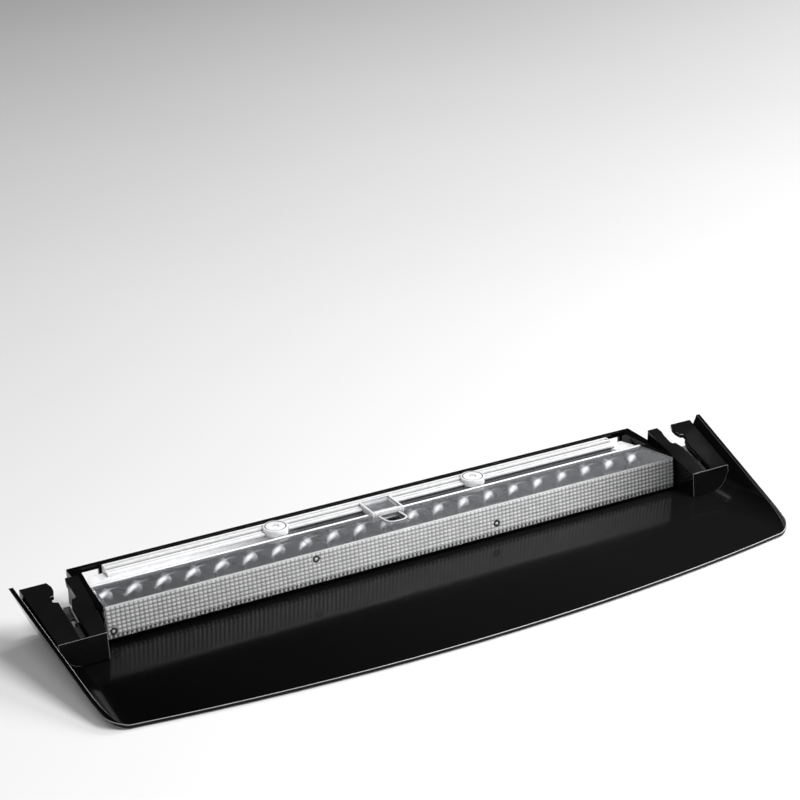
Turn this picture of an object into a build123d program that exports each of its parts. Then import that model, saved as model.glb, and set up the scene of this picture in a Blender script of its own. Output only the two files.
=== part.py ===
from build123d import *
import math
import os

# Third brake light: a clear lens bar with a row of LEDs in a black housing, fixed on a
# glossy cover tray that carries a hollow mounting tower at each end.
# +X is to the lamp's right, +Y to its rear and +Z up; the tray's underside is z = 0.

# ---- cover tray ----
tray_thick = 2.2
tray_front_y = -71.5
tray_rear_y = 48.0
tray_front_radius = 1260.0
front_corner_radius = 14.0
front_corner_x = 190.75
front_corner_turn = 11.9
front_corner_blend = 0.03
tray_pad_radius = 4.5
tray_hole_radius = 1.5
tray_hole_sink = 2.8
floor_half = 193.0
curl_radius = 12.0
flank_lean = 22.3
flank_top_at_tower = 19.6
flank_slope = 15.45
clip_notch_x = (183.0, 195.0)
clip_notch_depth = 11.0

# ---- mounting towers ----
tower_front_y = 5.0
tower_rear_y = 49.8
tower_front_height = 14.3
tower_slope = 15.25
face_lean = 6.5
tower_wall = 2.2
tower_clearance = 0.1
slot_floor_z = 10.5
screw_post_radius = 3.2
screw_post_height = 8.0
web_height = 12.0
pilot_radius = 1.5
tongue_drop = 2.9
tongue_thick = 1.4
tongue_width = 3.4
tongue_middle_x = 191.45
tongue_root_y = 9.2
tongue_tip_y = 33.0

# ---- lens bar ----
lens_half = 175.4
lens_bottom_z = 4.9
lens_front_bottom_y = 18.4
lens_front_top_y = 20.4
lens_front_top_z = 22.7
lens_wall = 2.4
top_rear_y = 49.2
top_rear_z = 19.55
bead_rear_y = 51.6
groove_rear_y = 57.2
rail_front_y = 61.5
rail_rear_y = 66.2
rail_top_z = 21.9
rail_half = 160.0
flange_under_z = 17.0
boss_x = 62.5
boss_y = 59.2
boss_radius = 7.3
hood_half = 9.8
hood_y = (45.2, 61.6)
hood_top_z = 22.4
hood_wall = 1.6
window_half = 5.6
window_front_y = 33.4
recess_depth = 0.8

# ---- housing ----
housing_half = 178.4
housing_bottom_z = 2.9
housing_plate = 1.8
housing_rear_y = 69.6
housing_wall = 2.2
rim_z = 22.4
rim_corner_radius = 0.8
corner_window = (166.0, 14.2, 10.0, 10.4)
ledge_top_z = 16.2

# ---- light unit ----
led_count = 21
led_pitch = 16.47
led_z = 12.5
led_radius = 2.5
board_front_y = 50.6
board_thick = 1.6
board_half = 170.4
board_z = (5.2, 16.4)
reflector_plate = 1.4
cup_depth = 9.0
cup_radius = 7.6
socket_x = 98.83
socket_size = (13.0, 8.4)
socket_z = 9.9
socket_mouth_y = 71.5

os.makedirs("parts", exist_ok=True)

floor_z = tray_thick
lean = math.radians(flank_lean)
curl_end = (floor_half + curl_radius * math.cos(lean), floor_z + curl_radius * (1 - math.sin(lean)))
led_xs = [led_pitch * (i - (led_count - 1) / 2) for i in range(led_count)]
board_screw_z = led_z + 2.1
board_screw_xs = [side * steps * led_pitch for side in (-1, 1) for steps in (2.5, 8.5)]
housing_screw_spots = [(x, 30.0) for x in (-140.0, -48.0, 48.0, 140.0)]
tower_screw_spots = [(184.6, 15.0), (197.6, 26.0)]


def slope_z(y, y0, z0, degrees):
    """Height at y of a plane that passes (y0, z0) and climbs to the rear."""
    return z0 + (y - y0) * math.tan(math.radians(degrees))


def tower_top_z(y, drop=0.0):
    front_top_y = tower_front_y + tower_front_height * math.tan(math.radians(face_lean))
    return slope_z(y, front_top_y, floor_z + tower_front_height, tower_slope) - drop


def flank_point(height, inset=0.0):
    """Point on the leaning inner face of the tray's right flank at a height above the curl."""
    x, z = curl_end
    run = height - z
    return (x + run * math.tan(lean) - inset / math.cos(lean), height)


def tray_hollow(inset):
    """Face in XZ between the tray's flanks, moved in by inset, reaching 40 mm up."""
    radius = curl_radius - inset
    centre = (floor_half, floor_z + curl_radius)
    half = math.radians((270 + 360 - flank_lean) / 2)
    end = math.radians(-flank_lean)
    low = (centre[0], centre[1] - radius)
    mid = (centre[0] + radius * math.cos(half), centre[1] + radius * math.sin(half))
    top = (centre[0] + radius * math.cos(end), centre[1] + radius * math.sin(end))
    high = flank_point(40.0, inset)
    with BuildSketch(Plane.XZ.offset(-70)) as hollow:
        with BuildLine():
            Polyline((0, 40.0), (0, low[1]), low)
            ThreePointArc(low, mid, top)
            Polyline(top, high, (0, 40.0))
        make_face()
        mirror(about=Plane.YZ)
    return hollow.sketch


def screw_solid(length, head_radius, head_height, shank_radius):
    """Countersunk screw, tip up along +Z, with the head's flat face at z = 0."""
    with BuildSketch(Plane.XZ, mode=Mode.PRIVATE) as half:
        Polygon(
            (0, 0),
            (head_radius, 0),
            (shank_radius, head_height),
            (shank_radius, length - shank_radius),
            (0, length),
            align=None,
        )
    return revolve(half.sketch, axis=Axis.Z)


flat_screw = screw_solid(8.2, 2.7, 1.2, 1.5)


# ---- cover tray ----
corner_reach = tray_front_radius - front_corner_radius + front_corner_blend
corner_centre = Vector(
    front_corner_x,
    tray_front_y + tray_front_radius - math.sqrt(corner_reach**2 - front_corner_x**2),
)
ray_front = Vector(0, -30).rotate(Axis.Z, math.degrees(math.asin(front_corner_x / corner_reach)))
ray_flank = Vector(30, 0).rotate(Axis.Z, -front_corner_turn)

with BuildPart() as cover_tray:
    extrude(tray_hollow(-tray_thick), amount=160, dir=(0, -1, 0))
    extrude(tray_hollow(0), amount=160, dir=(0, -1, 0), mode=Mode.SUBTRACT)
    # the flanks are cut off along a slope that runs out at the front corners
    with BuildSketch(Plane.YZ.offset(floor_half)):
        cut_y = (-95.0, 75.0)
        cut_z = [slope_z(y, tower_front_y, flank_top_at_tower, flank_slope) for y in cut_y]
        Polygon((cut_y[0], cut_z[0]), (cut_y[1], cut_z[1]), (cut_y[1], 70), (cut_y[0], 70), align=None)
    extrude(amount=40, mode=Mode.SUBTRACT)
    with BuildSketch(Plane.YZ.offset(-floor_half)):
        Polygon((cut_y[0], cut_z[0]), (cut_y[1], cut_z[1]), (cut_y[1], 70), (cut_y[0], 70), align=None)
    extrude(amount=-40, mode=Mode.SUBTRACT)
    # bowed front edge
    with BuildSketch(Plane.XY.offset(-1)):
        with Locations((0, tray_front_y + tray_front_radius)):
            Circle(tray_front_radius)
    extrude(amount=60, mode=Mode.INTERSECT)
    # rounded front corners, run tangent into the bowed edge and the flanks
    with BuildSketch(Plane.XY.offset(-1)):
        with Locations(corner_centre):
            with BuildLine(mode=Mode.PRIVATE) as corner_rays:
                Polyline((0, 0), ray_front, ray_front + ray_flank, ray_flank, close=True)
            add(make_face(corner_rays.line, mode=Mode.PRIVATE))
            Circle(front_corner_radius, mode=Mode.SUBTRACT)
        mirror(about=Plane.YZ)
    extrude(amount=60, mode=Mode.SUBTRACT)
    with BuildSketch(Plane.XY.offset(-1)):
        with Locations((0, tray_rear_y)):
            Rectangle(600, 60, align=(Align.CENTER, Align.MIN))
    extrude(amount=60, mode=Mode.SUBTRACT)
    # windows under the slots, where the body's clips come through
    notch_w = clip_notch_x[1] - clip_notch_x[0]
    with BuildSketch(Plane.XY.offset(-1)):
        with Locations(
            *[(s * (clip_notch_x[0] + notch_w / 2), tray_rear_y - clip_notch_depth) for s in (-1, 1)]
        ):
            Rectangle(notch_w, 30, align=(Align.CENTER, Align.MIN))
    extrude(amount=4, mode=Mode.SUBTRACT)
    # pads that carry the housing, with countersunk screw holes through pad and floor
    with BuildSketch(Plane.XY.offset(floor_z)):
        with Locations(*housing_screw_spots):
            Circle(tray_pad_radius)
    extrude(amount=housing_bottom_z - floor_z)
    both_towers = [(s * x, y) for x, y in tower_screw_spots for s in (-1, 1)]
    with Locations(*[Pos(x, y, 0) * Rot(180, 0, 0) for x, y in housing_screw_spots + both_towers]):
        CounterSinkHole(tray_hole_radius, tray_hole_sink, depth=6, counter_sink_angle=90)
cover_tray.part.label = "cover_tray"
export_step(cover_tray.part, "parts/cover_tray.step")

# ---- mounting towers ----
tower_inner_x = 178.6
tower_plan = [
    (180.1, tower_front_y),
    (tower_inner_x, tower_front_y + 17),
    (tower_inner_x, tower_rear_y),
    (209.6, tower_rear_y),
    (205.2, tower_front_y),
]
slot_plan = [
    (188.7, 7.4),
    (189.4, 29.5),
    (187.7, 34.4),
    (185.8, 34.6),
    (185.1, 36.0),
    (185.3, 42.5),
    (186.1, 46.0),
    (185.2, 51.0),
    (195.9, 51.0),
    (193.9, 46.4),
    (193.9, 43.2),
    (195.1, 40.0),
    (197.0, 39.4),
    (197.2, 35.6),
    (194.6, 34.6),
    (193.8, 7.4),
]


def tower_side(inset):
    """Side view of a tower's block, moved in by inset at the front face and the top."""
    slant = math.tan(math.radians(face_lean))
    front = inset / math.cos(math.radians(face_lean))
    drop = inset / math.cos(math.radians(tower_slope))
    base = floor_z - (1.0 if inset else 0.0)
    rear = tower_rear_y + (1.0 if inset else 0.0)
    y_low = tower_front_y + front - (floor_z - base) * slant
    y_high = tower_front_y + front + tower_front_height * slant
    return [(y_low, base), (y_high, tower_top_z(y_high, drop)), (rear, tower_top_z(rear, drop)), (rear, base)]


with BuildPart() as tower_core:
    with BuildSketch(Plane.YZ.offset(170)):
        Polygon(*tower_side(tower_wall), align=None)
    extrude(amount=50)
    with BuildSketch():
        Polygon(
            (180.1 + tower_wall, tower_front_y - 1),
            (tower_inner_x + tower_wall, tower_front_y + 17),
            (tower_inner_x + tower_wall, tower_rear_y + 2),
            (209.6 - tower_wall, tower_rear_y + 2),
            (205.2 - tower_wall, tower_front_y - 1),
            align=None,
        )
    extrude(amount=40, mode=Mode.INTERSECT)

with BuildPart() as right_tower:
    with BuildSketch(Plane.YZ.offset(170)):
        Polygon(*tower_side(0), align=None)
    extrude(amount=50)
    with BuildSketch():
        Polygon(*tower_plan, align=None)
    extrude(amount=40, mode=Mode.INTERSECT)
    fillet(right_tower.edges().group_by(Axis.Y)[0].sort_by(Axis.Z)[-1:], radius=0.5)
    add(tower_core.part, mode=Mode.SUBTRACT)
    # screw posts, each tied to a wall by a web
    with BuildSketch(Plane.XY.offset(floor_z)):
        with Locations(*tower_screw_spots):
            Circle(screw_post_radius)
    extrude(amount=screw_post_height)
    with BuildSketch(Plane.XY.offset(floor_z)):
        with Locations((tower_inner_x + 1, tower_screw_spots[0][1])):
            Rectangle(4, 1.6, align=(Align.MIN, Align.CENTER))
        with Locations((tower_screw_spots[1][0] + 2, tower_screw_spots[1][1])):
            Rectangle(7, 1.6, align=(Align.MIN, Align.CENTER))
    extrude(amount=web_height)
    # the lower outer corner follows the tray's curl
    extrude(tray_hollow(tower_clearance), amount=160, dir=(0, -1, 0), mode=Mode.INTERSECT)
    with BuildSketch(Plane.XY.offset(slot_floor_z)):
        Polygon(*slot_plan, align=None)
    extrude(amount=30, mode=Mode.SUBTRACT)
    with BuildSketch(Plane.XY.offset(floor_z)):
        with Locations(*tower_screw_spots):
            Circle(pilot_radius)
    extrude(amount=7, mode=Mode.SUBTRACT)
right_tower.part.label = "right_tower"
export_step(right_tower.part, "parts/right_tower.step")

with BuildPart() as left_tower:
    add(mirror(right_tower.part, about=Plane.YZ))
left_tower.part.label = "left_tower"
export_step(left_tower.part, "parts/left_tower.step")

# ---- lock tongues: sprung blades under the slots, each with a catch window ----
tongue_plane = Plane(
    origin=(tongue_middle_x, tongue_root_y, tower_top_z(tongue_root_y, tongue_drop)),
    x_dir=(1, 0, 0),
    z_dir=(0, -math.sin(math.radians(tower_slope)), math.cos(math.radians(tower_slope))),
)
tongue_length = (tongue_tip_y - tongue_root_y) / math.cos(math.radians(tower_slope))
with BuildPart() as right_lock_tongue:
    with BuildSketch(tongue_plane) as blade:
        with Locations((0, tongue_length / 2)):
            Rectangle(tongue_width, tongue_length)
        with Locations((0, tongue_length * 0.52)):
            SlotOverall(6.4, 2.4, rotation=90, mode=Mode.SUBTRACT)
    extrude(amount=-tongue_thick)
    # lead-in ramp at the free end
    with BuildSketch(Plane.YZ.offset(tongue_middle_x - tongue_width / 2)):
        tip_z = tower_top_z(tongue_tip_y, tongue_drop)
        Polygon(
            (tongue_tip_y - 5.0, tip_z - 5.0 * math.tan(math.radians(tower_slope)) - 0.3),
            (tongue_tip_y - 1.0, tip_z + 0.9),
            (tongue_tip_y, tip_z + 0.6),
            (tongue_tip_y, tip_z - 0.8),
            align=None,
        )
    extrude(amount=tongue_width)
right_lock_tongue.part.label = "right_lock_tongue"
export_step(right_lock_tongue.part, "parts/right_lock_tongue.step")

with BuildPart() as left_lock_tongue:
    add(mirror(right_lock_tongue.part, about=Plane.YZ))
left_lock_tongue.part.label = "left_lock_tongue"
export_step(left_lock_tongue.part, "parts/left_lock_tongue.step")

# ---- lens ----
lens_plan = [(lens_half, 0), (lens_half, 20.4), (173.6, 48.0), (172.6, 57.0), (169.0, 63.0), (0, 63.0), (0, 0)]
with BuildPart() as lens_cavity:
    with BuildSketch(Plane.YZ):
        Polygon(
            (lens_front_bottom_y + lens_wall, 3),
            (lens_front_bottom_y + lens_wall, lens_bottom_z),
            (lens_front_top_y + lens_wall, lens_front_top_z - lens_wall - 0.3),
            (top_rear_y, flange_under_z),
            (60, flange_under_z),
            (60, 3),
            align=None,
        )
    extrude(amount=180)
    with BuildSketch():
        Polygon((0, 0), (172.6, 0), (172.6, 24), (171.2, 60), (0, 60), align=None)
    extrude(amount=40, mode=Mode.INTERSECT)
    mirror(about=Plane.YZ)

with BuildPart() as lens:
    with BuildSketch(Plane.YZ):
        Polygon(
            (lens_front_bottom_y, lens_bottom_z),
            (lens_front_top_y, lens_front_top_z),
            (top_rear_y, top_rear_z),
            (top_rear_y + 0.5, top_rear_z + 0.5),
            (bead_rear_y, top_rear_z + 0.4),
            (bead_rear_y, top_rear_z - 1.0),
            (63.0, top_rear_z - 1.0),
            (63.0, flange_under_z),
            (50.4, flange_under_z),
            (50.4, lens_bottom_z),
            align=None,
        )
    extrude(amount=180)
    with BuildSketch():
        Polygon(*lens_plan, align=None)
    extrude(amount=40, mode=Mode.INTERSECT)
    # stepped rail along the rear, shorter than the flange
    with BuildSketch(Plane.YZ):
        Polygon(
            (groove_rear_y, flange_under_z),
            (groove_rear_y, rail_top_z - 1.6),
            (rail_front_y, rail_top_z - 1.6),
            (rail_front_y, rail_top_z),
            (rail_rear_y, rail_top_z),
            (rail_rear_y, flange_under_z),
            align=None,
        )
    extrude(amount=rail_half)
    mirror(about=Plane.YZ)
    # round bosses on the rail
    with BuildSketch(Plane.XY.offset(flange_under_z)):
        with Locations((-boss_x, boss_y), (boss_x, boss_y)):
            Circle(boss_radius)
    extrude(amount=rail_top_z + 0.7 - flange_under_z)
    # snap hood: a low box behind the window in the top, open at its rear
    with BuildSketch(Plane.XY.offset(top_rear_z - 1.5)):
        with Locations((0, hood_y[0])):
            Rectangle(2 * hood_half, hood_y[1] - hood_y[0], align=(Align.CENTER, Align.MIN))
    extrude(amount=hood_top_z - top_rear_z + 1.5)
    with BuildSketch(Plane.XY.offset(top_rear_z - 0.9)):
        with Locations((0, hood_y[0] + hood_wall)):
            Rectangle(
                2 * (hood_half - hood_wall),
                groove_rear_y - hood_y[0] - hood_wall,
                align=(Align.CENTER, Align.MIN),
            )
    extrude(amount=hood_top_z - hood_wall - top_rear_z + 0.9, mode=Mode.SUBTRACT)
    add(lens_cavity.part, mode=Mode.SUBTRACT)
    # recess along the rail's top, split by the hood and the bosses
    with BuildSketch(Plane.XY.offset(rail_top_z)):
        for side in (-1, 1):
            for recess_x, recess_length in ((116.0, 82.0), (32.0, 40.0)):
                with Locations((side * recess_x, (rail_front_y + rail_rear_y) / 2)):
                    Rectangle(recess_length, 2.2)
    extrude(amount=-recess_depth, mode=Mode.SUBTRACT)
    # window in front of the hood, with round front corners
    with BuildSketch(Plane.XY.offset(flange_under_z - 2)):
        with Locations((0, window_front_y)):
            RectangleRounded(2 * window_half, 10.0, 4.0, align=(Align.CENTER, Align.MIN))
        with Locations((0, hood_y[0] - 0.2)):
            Rectangle(2 * window_half, 6.0, align=(Align.CENTER, Align.MAX))
    extrude(amount=8, mode=Mode.SUBTRACT)
lens.part.label = "lens"
export_step(lens.part, "parts/lens.step")

# ---- housing: floor plate, rear rim, wedge-shaped end walls and a gasket ledge ----
plate_top = housing_bottom_z + housing_plate
rear_inner_y = housing_rear_y - housing_wall
socket_cut = (socket_size[0] + 0.4, socket_size[1] + 0.4)
end_wall_plan = [
    (housing_half, 22.6),
    (lens_half + 0.3, 22.6),
    (173.9, 48.0),
    (172.9, 57.2),
    (172.0, rear_inner_y),
    (housing_half, rear_inner_y),
]
with BuildPart() as housing:
    with BuildSketch(Plane.XY.offset(housing_bottom_z)):
        with Locations((0, lens_front_bottom_y + 0.8)):
            Rectangle(
                2 * housing_half,
                housing_rear_y - lens_front_bottom_y - 0.8,
                align=(Align.CENTER, Align.MIN),
            )
    extrude(amount=housing_plate)
    with BuildSketch(Plane.XY.offset(housing_bottom_z)):
        with Locations((0, rear_inner_y)):
            Rectangle(2 * housing_half, housing_wall, align=(Align.CENTER, Align.MIN))
        Polygon(*end_wall_plan, align=None)
        mirror(about=Plane.YZ)
    extrude(amount=rim_z - housing_bottom_z)
    fillet(housing.edges().filter_by(Axis.Z).group_by(Axis.Y)[-1], radius=rim_corner_radius)
    # ledge under the lens flange
    with BuildSketch(Plane.YZ.offset(-rail_half)):
        Polygon(
            (rear_inner_y, ledge_top_z),
            (60.2, ledge_top_z),
            (60.2, ledge_top_z - 1.8),
            (rear_inner_y, ledge_top_z - 6.0),
            align=None,
        )
    extrude(amount=2 * rail_half)
    # posts behind the board and posts over the tray's pads
    with BuildSketch(Plane.XZ.offset(-(board_front_y + board_thick))):
        with Locations(*[(x, board_screw_z) for x in board_screw_xs]):
            Circle(2.3)
        with Locations(*[(x, plate_top) for x in board_screw_xs]):
            Rectangle(3.0, board_screw_z - plate_top, align=(Align.CENTER, Align.MIN))
    extrude(amount=-8)
    with BuildSketch(Plane.XY.offset(plate_top)):
        with Locations(*housing_screw_spots):
            Circle(3.0)
    extrude(amount=5.2)
    with BuildSketch(Plane.XZ.offset(-(board_front_y + board_thick))):
        with Locations(*[(x, board_screw_z) for x in board_screw_xs]):
            Circle(1.1)
    extrude(amount=-6, mode=Mode.SUBTRACT)
    with BuildSketch(Plane.XY.offset(housing_bottom_z)):
        with Locations(*housing_screw_spots):
            Circle(pilot_radius)
    extrude(amount=6, mode=Mode.SUBTRACT)
    # windows at the rear corners, the socket's opening and the vent's hole
    with BuildSketch(Plane.XZ.offset(-housing_rear_y)):
        for side in (-1, 1):
            with Locations((side * corner_window[0], corner_window[1])):
                Rectangle(*corner_window[2:])
        with Locations((socket_x, socket_z)):
            Rectangle(*socket_cut)
        with Locations((-socket_x, socket_z)):
            Circle(3.0)
    extrude(amount=housing_wall + 0.4, mode=Mode.SUBTRACT)
    with BuildSketch(Plane.XZ.offset(-housing_rear_y)):
        with Locations((socket_x, socket_z)):
            Rectangle(*socket_cut)
    extrude(amount=9.2, mode=Mode.SUBTRACT)
housing.part.label = "housing"
export_step(housing.part, "parts/housing.step")

# ---- reflector: perforated plate with a half cup under every LED ----
with BuildPart() as reflector:
    plate_y = board_front_y - reflector_plate
    with BuildSketch(Plane.XZ.offset(-board_front_y)):
        with Locations((0, (board_z[0] + board_z[1]) / 2)):
            Rectangle(2 * board_half, board_z[1] - board_z[0])
    extrude(amount=reflector_plate)
    with BuildSketch(Plane.XZ.offset(-plate_y)):
        with Locations((0, board_z[0])):
            Rectangle(2 * board_half, led_z - board_z[0], align=(Align.CENTER, Align.MIN))
    extrude(amount=cup_depth)
    with Locations(*[Pos(x, plate_y - cup_depth / 2, led_z) * Rot(90, 0, 0) for x in led_xs]):
        Cone(3.2, cup_radius, cup_depth, mode=Mode.SUBTRACT)
    with BuildSketch(Plane.XZ.offset(-board_front_y)):
        with Locations(*[(x, led_z) for x in led_xs]):
            Circle(led_radius + 0.45)
        with Locations(*[(x, board_screw_z) for x in board_screw_xs]):
            Circle(1.1)
    extrude(amount=reflector_plate, mode=Mode.SUBTRACT)
reflector.part.label = "reflector"
export_step(reflector.part, "parts/reflector.step")

# ---- circuit board and what is soldered to it ----
board_back_y = board_front_y + board_thick
with BuildPart() as circuit_board:
    with BuildSketch(Plane.XZ.offset(-board_back_y)):
        with Locations((0, (board_z[0] + board_z[1]) / 2)):
            Rectangle(2 * board_half, board_z[1] - board_z[0])
        with Locations(*[(x, board_screw_z) for x in board_screw_xs]):
            Circle(1.1, mode=Mode.SUBTRACT)
    extrude(amount=board_thick)
circuit_board.part.label = "circuit_board"
export_step(circuit_board.part, "parts/circuit_board.step")

with BuildPart() as leds:
    for x in led_xs:
        with BuildSketch(Plane.XZ.offset(-board_front_y)):
            with Locations((x, led_z)):
                Circle(led_radius)
        extrude(amount=5.4)
        with Locations((x, board_front_y - 5.4, led_z)):
            Sphere(led_radius)
leds.part.label = "leds"
export_step(leds.part, "parts/leds.step")

with BuildPart() as resistors:
    with Locations(*[(x, board_back_y, led_z + 2.0) for x in led_xs[1::3]]):
        Box(3.2, 0.6, 1.6, align=(Align.CENTER, Align.MIN, Align.CENTER))
resistors.part.label = "resistors"
export_step(resistors.part, "parts/resistors.step")

with BuildPart() as protection_diode:
    with Locations((socket_x - 12.0, board_back_y, 9.6)):
        Box(4.6, 2.2, 2.7, align=(Align.CENTER, Align.MIN, Align.CENTER))
protection_diode.part.label = "protection_diode"
export_step(protection_diode.part, "parts/protection_diode.step")

# ---- connector socket, its pins and the breather cap ----
socket_length = 14.0
socket_inner_y = socket_mouth_y - socket_length
with BuildPart() as connector_socket:
    with BuildSketch(Plane.XZ.offset(-socket_mouth_y)):
        with Locations((socket_x, socket_z)):
            Rectangle(*socket_size)
    extrude(amount=socket_length)
    with BuildSketch(Plane.XZ.offset(-socket_mouth_y)):
        with Locations((socket_x, socket_z)):
            Rectangle(socket_size[0] - 2.4, socket_size[1] - 2.4)
    extrude(amount=socket_length - 2.0, mode=Mode.SUBTRACT)
    with BuildSketch(Plane.XZ.offset(-housing_rear_y - 1.2)):
        with Locations((socket_x, socket_z)):
            Rectangle(socket_size[0] + 4.0, socket_size[1] + 3.0)
            Rectangle(socket_size[0] - 1.0, socket_size[1] - 1.0, mode=Mode.SUBTRACT)
    extrude(amount=1.2)
    with BuildSketch(Plane.XZ.offset(-socket_inner_y - 3)):
        with Locations((socket_x - 2.5, socket_z), (socket_x + 2.5, socket_z)):
            Rectangle(0.8, 1.6)
    extrude(amount=4, mode=Mode.SUBTRACT)
connector_socket.part.label = "connector_socket"
export_step(connector_socket.part, "parts/connector_socket.step")

with BuildPart() as contact_pins:
    for offset in (-2.5, 2.5):
        with Locations((socket_x + offset, board_back_y, socket_z)):
            Box(0.8, socket_mouth_y - 3.5 - board_back_y, 1.6, align=(Align.CENTER, Align.MIN, Align.CENTER))
contact_pins.part.label = "contact_pins"
export_step(contact_pins.part, "parts/contact_pins.step")

with BuildPart() as breather_cap:
    with BuildSketch(Plane.XZ.offset(-rear_inner_y)):
        with Locations((-socket_x, socket_z)):
            Circle(3.0)
    extrude(amount=-housing_wall)
    with BuildSketch(Plane.XZ.offset(-housing_rear_y)):
        with Locations((-socket_x, socket_z)):
            Circle(4.5)
    extrude(amount=-1.4)
breather_cap.part.label = "breather_cap"
export_step(breather_cap.part, "parts/breather_cap.step")

# ---- lens gasket on the housing's ledge ----
with BuildPart() as lens_gasket:
    with BuildSketch(Plane.XY.offset(ledge_top_z)):
        with Locations((0, 60.6)):
            Rectangle(2 * rail_half - 2, 5.0, align=(Align.CENTER, Align.MIN))
    extrude(amount=flange_under_z - ledge_top_z)
lens_gasket.part.label = "lens_gasket"
export_step(lens_gasket.part, "parts/lens_gasket.step")

# ---- screws ----
with BuildPart() as housing_screws:
    with Locations(*[Location((x, y, 0)) for x, y in housing_screw_spots]):
        add(flat_screw)
housing_screws.part.label = "housing_screws"
export_step(housing_screws.part, "parts/housing_screws.step")

for side, name in ((1, "right_tower_screws"), (-1, "left_tower_screws")):
    with BuildPart() as tower_screws:
        with Locations(*[Location((side * x, y, 0)) for x, y in tower_screw_spots]):
            add(flat_screw)
    tower_screws.part.label = name
    export_step(tower_screws.part, f"parts/{name}.step")

with BuildPart() as board_screws:
    with BuildSketch(Plane.XZ.offset(-plate_y)):
        with Locations(*[(x, board_screw_z) for x in board_screw_xs]):
            Circle(2.0)
    extrude(amount=1.4)
    with BuildSketch(Plane.XZ.offset(-plate_y)):
        with Locations(*[(x, board_screw_z) for x in board_screw_xs]):
            Circle(1.1)
    extrude(amount=-(reflector_plate + board_thick + 5))
board_screws.part.label = "board_screws"
export_step(board_screws.part, "parts/board_screws.step")
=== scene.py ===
import bpy
import math
from mathutils import Matrix, Vector


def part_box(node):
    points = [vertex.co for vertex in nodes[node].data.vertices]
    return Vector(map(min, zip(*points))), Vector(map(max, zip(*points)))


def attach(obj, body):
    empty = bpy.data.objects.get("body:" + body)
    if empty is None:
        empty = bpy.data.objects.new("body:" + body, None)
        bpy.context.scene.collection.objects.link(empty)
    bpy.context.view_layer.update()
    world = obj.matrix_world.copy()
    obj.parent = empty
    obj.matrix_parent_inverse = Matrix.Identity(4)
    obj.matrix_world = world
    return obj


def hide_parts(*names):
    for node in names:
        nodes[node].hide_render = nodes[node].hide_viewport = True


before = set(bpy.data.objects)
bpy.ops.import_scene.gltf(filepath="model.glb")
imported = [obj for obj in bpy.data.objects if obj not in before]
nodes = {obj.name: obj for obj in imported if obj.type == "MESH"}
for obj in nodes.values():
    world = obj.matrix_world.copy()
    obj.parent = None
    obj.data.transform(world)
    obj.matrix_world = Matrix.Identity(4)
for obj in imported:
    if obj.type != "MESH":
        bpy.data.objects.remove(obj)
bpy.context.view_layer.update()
MM = 0.001
BODY = "lamp"


# ---------------------------------------------------------------- node helpers
# Which edges get a painted highlight, a line of painted light: the axis along which the rounded
# edge's normal is read, the range over which it is read, and the line's strength at the range's two
# ends.
NOT_FACING_LEFT = ("X", -0.5, -0.15, 0.1, 1.0)
FACING_FRONT = ("Y", -0.55, -0.30, 1.0, 0.0)
LINE_WIDTH = 0.0005
# The mix node's color sockets come after its float and vector ones.
MIX_COLOR_A, MIX_COLOR_B, MIX_COLOR_RESULT = 6, 7, 2


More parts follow.
